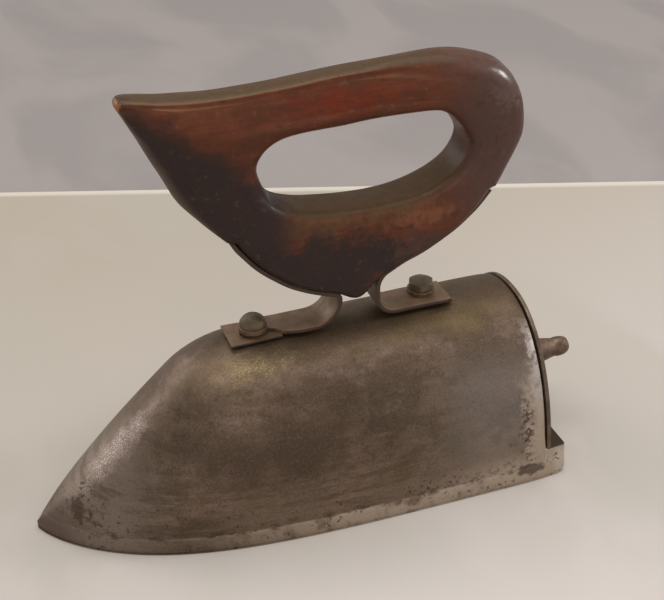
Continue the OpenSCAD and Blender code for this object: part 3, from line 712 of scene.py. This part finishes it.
def strap_points(line, near, far):
    """A strip swept along a line between two sides, with rounded long edges."""
    soft, half_t = 0.5, STRAP_T / 2
    turn = [math.radians(a) for a in (0, 30, 60, 90)]
    out = [soft * math.sin(t) for t in turn]
    drop = [half_t - soft + soft * math.cos(t) for t in turn]
    corner = list(zip(out, drop))
    points = []
    for p, n, a, b in zip(line, side_of(line), near, far):
        middle, reach = (a + b) / 2, (b - a) / 2 - soft
        across = np.linspace(-1, 1, 11) * reach
        ring = [(y, half_t) for y in across]
        ring += [(reach + y, d) for y, d in corner[1:]]
        ring += [(reach + y, -d) for y, d in corner[::-1]]
        ring += [(y, -half_t) for y in -across[1:]]
        ring += [(-reach - y, -d) for y, d in corner[1:]]
        ring += [(-reach - y, d) for y, d in corner[:0:-1]]
        points += [(p[0] + n[0] * d, middle + y, p[1] + n[1] * d) for y, d in ring]
    return points, len(ring)


def strap_piece(name, node, line, near, far, seed):
    points, ring = strap_points(line, near, far)
    faces = grid(len(line), ring, wrap_cols=True)
    faces += [tuple(range(ring)), tuple(range((len(line) - 1) * ring, len(line) * ring))]
    points = shaken(points, 9.0, 0.16, seed)
    return mesh_piece(name, points, faces, STRAP, node, crease=55)


def make_straps():
    """Two bent strips: the front one hooks round its bolt, its near corner beside the bolt gone."""
    half, full_width_x = STRAP_W / 2, 50
    x = np.where(np.arange(len(FRONT_LINE)) < FOOT_STEPS, FRONT_LINE[:, 0], full_width_x)
    near = np.interp(x, [FRONT_BOLT - HOOK_R, FRONT_BOLT - 4, FRONT_BOLT + 1, -8.1, -4.7, -1.9, 5],
                     [0, -1, -2.2, -1.2, -3.6, -6.75, -half])
    far = np.sqrt(HOOK_R ** 2 - np.clip(x - FRONT_BOLT, -HOOK_R, 0) ** 2)
    far += (half - HOOK_R) * np.clip((x - FRONT_BOLT) / 3, 0, 1)
    strap_piece("front_strap_bent", "front_strap", FRONT_LINE, near, np.maximum(far, near + 1.2), 1)
    whole = np.full(len(REAR_LINE), half)
    strap_piece("rear_strap_bent", "rear_strap", REAR_LINE, -whole, whole, 5)


def pad_piece(name, node, near, far, seed):
    """A plate between two sides given as (x, y) lines, thin at its rim, down to the crown inside."""
    rim_w, rim_t, m, n = 1.9, 0.8, 41, 31
    xs = np.linspace(low(node).x, high(node).x, m)
    sides = [np.interp(xs, *zip(*side)) for side in (near, far)]
    top, under = [], []
    for x, a, b in zip(xs, *sides):
        for y in np.linspace(a, b, n):
            inside = min(x - xs[0], xs[-1] - x, y - a, b - y) > rim_w
            floor = PAD_TOP - rim_t
            top.append((x, y, PAD_TOP))
            under.append((x, y, min(crown_z(x, y) - 0.05, floor) if inside else floor))
    faces = grid(m, n) + grid(m, n, start=m * n)
    rim = [r * n for r in range(m)] + [(m - 1) * n + c for c in range(1, n)]
    rim += [r * n + n - 1 for r in range(m - 2, -1, -1)] + list(range(n - 2, 0, -1))
    faces += [(a, b, b + m * n, a + m * n) for a, b in zip(rim, rim[1:] + rim[:1])]
    mesh_piece(name, shaken(top + under, 8.0, 0.15, seed), faces, STRAP, node, crease=50)


def make_pads():
    pad_piece("front_pad_plate", "front_pad", [(-26.8, -7.6), (-3, -6.8)], [(-20, 10.8), (-3, 8.3)], 2)
    pad_piece("rear_pad_plate", "rear_pad", [(53, -7), (79, -7)], [(77.4, 7), (79, 5.6)], 4)


def make_washers():
    inner, soft, count = 3.5, 0.45, 64
    section = [(inner, FOOT_TOP), (inner, WASHER_TOP - soft)]
    for middle, start in ((inner + soft, 180), (WASHER_R - soft, 90)):
        section += list(arc(middle, WASHER_TOP - soft, soft, start - 15, start - 75, 4))
    section += [(WASHER_R, WASHER_TOP - soft), (WASHER_R - 0.1, FOOT_TOP)]
    points, faces = [], []
    for x, y in ((FRONT_BOLT, 0), (REAR_BOLT, REAR_BOLT_Y)):
        start = len(points)
        points += [(x + r * math.cos(t), y + r * math.sin(t), z) for r, z in section
                   for t in circle(count)]
        faces += grid(len(section), count, wrap_rows=True, wrap_cols=True, start=start)
    points = shaken(points, 4.0, 0.12, 6)
    mesh_piece("worn_washers", points, faces, WASHER, "handle_washers")


def bolt_head(x, y, flats, corner, worn, side, dome, turn):
    """Rings of a head with half widths flats and corner, its dome on top, turned by turn degrees."""
    base, count = WASHER_TOP, 96
    ball = (corner ** 2 + dome ** 2) / (2 * dome)
    reach = math.asin(corner / ball)
    rows = [(base, 3.2), (base, flats - 0.3), (base + 0.35, corner + 0.1)]
    rows += [(base + side * f, corner + 0.2) for f in (0.3, 0.6, 0.9)]
    rows += [(base + side + dome - ball + ball * math.cos(a), ball * math.sin(a) + 0.1)
             for a in np.linspace(reach * 0.98, 0.01, 20)]
    cos, sin = math.cos(math.radians(turn)), math.sin(math.radians(turn))
    return [(x + c * cos - s * sin, y + c * sin + s * cos, h)
            for h, c, s in hex_rows(rows, flats, count, worn)], len(rows), count


def make_bolts():
    """Heads with a domed top on plain shanks: the front one worn round, the rear one a hexagon."""
    shank_r, shank_len, sides = 3.17, 24, 40
    front = (FRONT_BOLT, 0, 5.9, 5.9, 1.0, 1.3, 4.2, 0)
    rear = (REAR_BOLT, REAR_BOLT_Y, 5.4, 6.25, 0.15, 3.0, 1.6, -23)
    points, faces = [], []
    for head in (front, rear):
        start = len(points)
        rings, rows, count = bolt_head(*head)
        points += rings
        faces += grid(rows, count, wrap_cols=True, start=start)
        faces.append(tuple(range(start + (rows - 1) * count, start + rows * count)))
        start = len(points)
        x, y = head[:2]
        points += [(x + shank_r * math.cos(t), y + shank_r * math.sin(t), z)
                   for z in (WASHER_TOP - shank_len, WASHER_TOP + 0.1) for t in circle(sides)]
        faces += grid(2, sides, wrap_cols=True, start=start) + [tuple(range(start, start + sides))]
    mesh_piece("domed_bolts", shaken(points, 3.0, 0.08, 8), faces, BOLT, "handle_bolts")


# ---- wooden handle ----------------------------------------------------------------------------

STRAP_SEAT = STRAP_T / 2 + 0.3
BEAK_X = -65.4
WOOD_TOP = [[-64.6, 194.2], [-65.4, 197], [-63, 199.2], [-56, 198.5], [-42, 196.4], [-20, 195.4],
            [5, 196.3], [30, 197.9], [59, 199.2], [76, 198.7], [90, 195.4], [99, 191], [105.5, 183],
            [109.6, 172], [110.2, 160], [106.6, 150.5], [101, 141.3], [96.9, 135.6]]
WOOD_FOOT = [[25, 95.6], [28.6, 93.8], [32.4, 93.9], [36, 96.4], [39.6, 100.2]]
WOOD_FRONT = [[-26, 131.3], [-36.5, 141.8], [-44, 151], [-51, 166], [-58.5, 182], [-64, 193.2]]
FINGER_HOLE = [[-10.7, 160], [-9, 167.8], [-1.5, 173.2], [12, 175.1], [40, 176.3], [64, 176],
               [73.5, 173], [80.5, 165], [83.2, 157.5], [79, 149], [68.5, 142.2], [55, 138.6],
               [38, 137.5], [20, 138.6], [6, 141.2], [-4.5, 147]]
HOLE_MIDDLE = np.array([36.0, 156.0])


def on_hole(points, hole):
    """Where rays from the hole's middle towards points cross the hole's edge."""
    a, s = hole - HOLE_MIDDLE, np.roll(hole, -1, 0) - hole
    found = []
    for p in points:
        d = p - HOLE_MIDDLE
        cross = d[0] * s[:, 1] - d[1] * s[:, 0]
        far = (a[:, 0] * s[:, 1] - a[:, 1] * s[:, 0]) / cross
        along = (a[:, 0] * d[1] - a[:, 1] * d[0]) / cross
        found.append(HOLE_MIDDLE + far[(far > 0) & (along >= 0) & (along <= 1)].max() * d)
    return np.array(found)


def smooth(values, width):
    """Mean over a moving window on a closed ring."""
    return sum(np.roll(values, k, 0) for k in range(-width, width + 1)) / (2 * width + 1)


def half_width(x, z):
    """The wood's half width: it thins towards the beak and towards the crest of the grip's front."""
    beak = np.minimum(1, 0.34 + 0.66 * (np.maximum(0, x - BEAK_X) / 58) ** 0.8)
    below = np.interp(x, *catmull(WOOD_TOP, 10)[20:120].T) - z
    crest = 1 - 0.54 * (1 - smoothstep(below, 0, 24)) * (1 - smoothstep(x, 44, 92))
    near = np.maximum(0, 0.2 - np.abs(beak - crest)) / 0.2
    return WOOD_HALF * np.minimum(1, (np.minimum(beak, crest) - near ** 2 * 0.05) / 0.95)


def handle_piece():
    """A ring of wood round the finger hole, whose edges are crisp on top and round behind."""
    rear = REAR_ARM + side_of(REAR_ARM) * STRAP_SEAT
    front = FRONT_ARM - side_of(FRONT_ARM) * STRAP_SEAT
    loop = np.vstack([catmull(WOOD_TOP, 10), rear[::-1], catmull(WOOD_FOOT, 6)[::-1], front,
                      catmull(WOOD_FRONT, 10)])
    ring = resample(loop, 480, closed=True)
    hole = on_hole(ring, catmull(FINGER_HOLE, 20, closed=True))
    x, z = ring[:, 0], ring[:, 1]
    on_top = (z > 186) & (x < 100)
    half, hole_half = half_width(x, z), half_width(*hole.T)
    edge = np.where(on_top, 2.2 + 7.5 * smoothstep(x, 30, 92), 8.0)
    edge = np.where((z < 150) & (x > 20), 3.0 + 5.0 * smoothstep(z, 125, 150), edge)
    edge = np.where((z < 134) & (x < 30), 3.0, edge)
    below_beak = 3.0 + 4.5 * smoothstep(z, 128, 150) * smoothstep(z, 192, 170)
    edge = np.where((x < -26) & ~on_top, below_beak, edge)
    edge = np.minimum(smooth(edge, 6), 0.92 * half)
    hole_edge = smooth(5.6 + 1.2 * smoothstep(hole[:, 0], 20, -8), 6)
    normal, hole_normal = smooth(side_of(ring, True), 1), smooth(side_of(hole, True), 2)
    crown = 0.3
    turns = np.radians([90, 76, 62, 48, 34, 20, 8, 0])

    def profile(base, out, edge, half, inward):
        """Rings over an edge, across, and over the other edge."""
        over = [(edge * (1 - math.cos(a)) + crown, half - edge + edge * math.sin(a)) for a in turns]
        rows = over + [(np.full_like(edge, crown * f * f), f * (half - edge))
                       for f in np.linspace(1, -1, 9)[1:-1]]
        rows += [(d, -y) for d, y in over[::-1]]
        return [np.stack([base[:, 0] - inward * d * out[:, 0], y,
                          base[:, 1] - inward * d * out[:, 1]], 1) for d, y in rows]

    outer = profile(ring, normal, edge, half, 1)
    inner = profile(hole, hole_normal, hole_edge, hole_half, -1)
    faces_between = []
    for sign, start, end in ((-1, outer[-1], inner[-1]), (1, inner[0], outer[0])):
        rows = []
        for f in np.linspace(0, 1, 14)[1:-1]:
            row = start * (1 - f) + end * f
            row[:, 1] = sign * (half_width(row[:, 0], row[:, 2]) + 0.7 * (1 - (2 * f - 1) ** 2))
            rows.append(row)
        faces_between.append(rows)
    rings = outer + faces_between[0] + inner[::-1] + faces_between[1]
    points = [tuple(p) for row in rings for p in row]
    points = shaken(points, 16.0, 0.3, 11)
    mesh_piece("wooden_handle", points, grid(len(rings), len(ring), True, True), WOOD, "handle",
               crease=70)


make_hood()
sole_piece()
rear_plate_piece()
nozzle_piece()
make_straps()
make_pads()
make_washers()
make_bolts()
handle_piece()

for names, material in (
        (("front_pillar", "rear_pillar", "saddle_screws", "strap_screws", "clip_rivets"), IRON),
        (("baffle", "burner_saddle", "plate_clips"), SHEET),
        (("nozzle_locknut", "gas_jet", "air_collar"), BRASS),
        (("mixing_tube", "burner_manifold", "left_burner_tube", "right_burner_tube",
          "burner_end_caps"), BURNER)):
    for name in names:
        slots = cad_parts[name].data.materials
        slots.clear()
        slots.append(material)


# ---- camera, floor and light ------------------------------------------------------------------

def make_camera():
    azimuth, elevation, roll = math.radians(-19.41), math.radians(31.5), math.radians(-1.14)
    distance, target = 582.7, Vector((22.66, 0, 88.51))
    back = Vector((math.sin(azimuth) * math.cos(elevation), -math.cos(azimuth) * math.cos(elevation),
                   math.sin(elevation)))
    data = bpy.data.cameras.new("camera")
    data.lens, data.sensor_width, data.sensor_fit = 70.48, 36.0, "HORIZONTAL"
    data.clip_start, data.clip_end = 0.01, 50.0
    camera = bpy.data.objects.new("camera", data)
    camera.location = (target + back * distance) * MM
    camera.rotation_mode = "QUATERNION"
    camera.rotation_quaternion = (-back).to_track_quat("-Z", "Y") @ Quaternion((0, 0, 1), roll)
    bpy.context.scene.collection.objects.link(camera)
    bpy.context.scene.camera = camera


def cloth(name, light, dark, fold_shade_colour, rim=None):
    """Cloth with painted light: lighter near the camera as a painted pool of light, with soft painted
    shade in wrinkles, and a painted highlight along a rim.
    """
    k = Look(name, specular_ior_level=0.2)
    x, y, _ = k.axes
    # Painted light: the colour runs from light near the camera to dark far off.
    across = k.math("SUBTRACT", k.times(x, 0.2), k.times(y, 1.5))
    colour = k.mix(k.span(across, 250, -460), rgb(*light), rgb(*dark))
    # Painted shade of soft wrinkles in the cloth.
    fold_shade = k.span(k.noise(110, 4, 0.5, stretch=(1, 2.0, 1), distortion=0.6), 0.42, 0.6, 0, 0.5)
    colour = k.mix(fold_shade, colour, rgb(*fold_shade_colour))
    if rim:
        # Painted light in front of the iron, lightening the floor there against its shadow.
        near = k.patch((0, -130, 0), (220, 110, 60), 0.9)
        colour = k.mix(k.times(near, 0.7), colour, rgb(206, 200, 196))
        # Painted highlight: a bright line along the table's rim.
        point, towards = rim
        away = k.vector("SUBTRACT", k.place, point)
        away = k.node("ShaderNodeVectorMath", {0: away, 1: towards}, operation="DOT_PRODUCT")
        away = away.outputs["Value"]
        colour = k.mix(k.span(away, 8, 3, 0, 0.5), colour, rgb(222, 216, 206))
    k.bump(k.noise(60, 3), 0.1, 2.0)
    return k.finish(colour, k.span(k.noise(40, 3), 0.3, 0.7, 0.75, 0.9))


def make_stage():
    """A pale table top that ends behind the iron, and a grey floor past it, a little lower."""
    def sheet(name, corners, material):
        mesh = bpy.data.meshes.new(name)
        mesh.from_pydata([tuple(c * MM for c in p) for p in corners], [], [(0, 1, 2, 3)])
        mesh.materials.append(material)
        piece = bpy.data.objects.new(name, mesh)
        bpy.context.scene.collection.objects.link(piece)

    edge = [Vector((-90, 349, 0)), Vector((331, 198, 0))]
    along = (edge[1] - edge[0]).normalized()
    towards = Vector((along.y, -along.x, 0))
    middle = (edge[0] + edge[1]) / 2
    a, b = middle - along * 6000, middle + along * 6000
    sheet("table_top", [a, b, b + towards * 6000, a + towards * 6000],
          cloth("pale_cloth", (188, 182, 178), (166, 158, 146), (170, 164, 155), (edge[0], towards)))
    drop = Vector((0, 0, -4))
    sheet("grey_floor", [a + drop - towards * 6000, b + drop - towards * 6000, b + drop, a + drop],
          cloth("grey_cloth", (158, 151, 151), (148, 142, 140), (130, 125, 125)))


def make_lights():
    def area(name, place, aim, size, power, colour=(1, 1, 1)):
        data = bpy.data.lights.new(name, "AREA")
        data.shape, data.size, data.energy, data.color = "DISK", size, power, colour
        light = bpy.data.objects.new(name, data)
        light.location = place
        light.rotation_mode = "QUATERNION"
        light.rotation_quaternion = (Vector(aim) - Vector(place)).to_track_quat("-Z", "Y")
        bpy.context.scene.collection.objects.link(light)

    middle = (0.0, 0.0, 0.08)
    area("overhead", (0.1, 0.1, 1.7), middle, 1.8, 24, (1.0, 0.97, 0.93))
    area("right", (1.6, -0.35, 0.85), middle, 0.5, 9, (1.0, 0.98, 0.96))
    area("front", (-0.4, -1.7, 0.9), middle, 1.2, 6, (1.0, 0.98, 0.96))
    area("back_left", (-1.2, 1.6, 0.9), middle, 1.0, 10, (1.0, 0.97, 0.95))

    world = bpy.data.worlds.new("room")
    bpy.context.scene.world = world
    world.use_nodes = True
    world.node_tree.nodes["Background"].inputs["Color"].default_value = (1.0, 0.95, 0.9, 1)
    world.node_tree.nodes["Background"].inputs["Strength"].default_value = 0.42


make_camera()
make_stage()
make_lights()
bpy.context.scene.view_settings.view_transform = "Standard"
